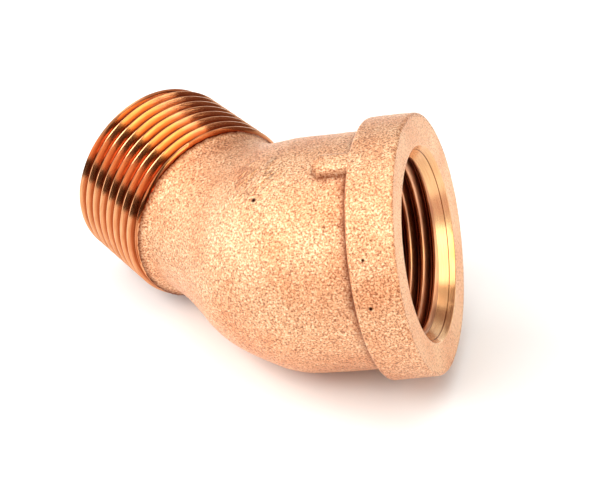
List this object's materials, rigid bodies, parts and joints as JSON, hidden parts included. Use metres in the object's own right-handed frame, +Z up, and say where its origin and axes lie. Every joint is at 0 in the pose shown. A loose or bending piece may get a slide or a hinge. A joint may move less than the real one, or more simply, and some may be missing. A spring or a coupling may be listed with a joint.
{
  "type": "45 degree street elbow",
  "caption": "Cast bronze 45 degree street elbow for water pipe: a banded female taper pipe thread at one end and a male one at the other.",
  "frame": {"origin": "middle of the bounding box's underside, on the surface that the fitting lies on", "axes": "+Z up as the fitting lies at rest; +X the way the female socket points, seen from above; the male end points to -X and +Y"},
  "size_m": [0.0568, 0.0478, 0.0383],
  "materials": {
    "cast_bronze": "as-cast bronze skin, tumbled, with bright machined threads"
  },
  "bodies": {
    "root": {"elbow_casting": "cast_bronze"}
  },
  "joints": []
}
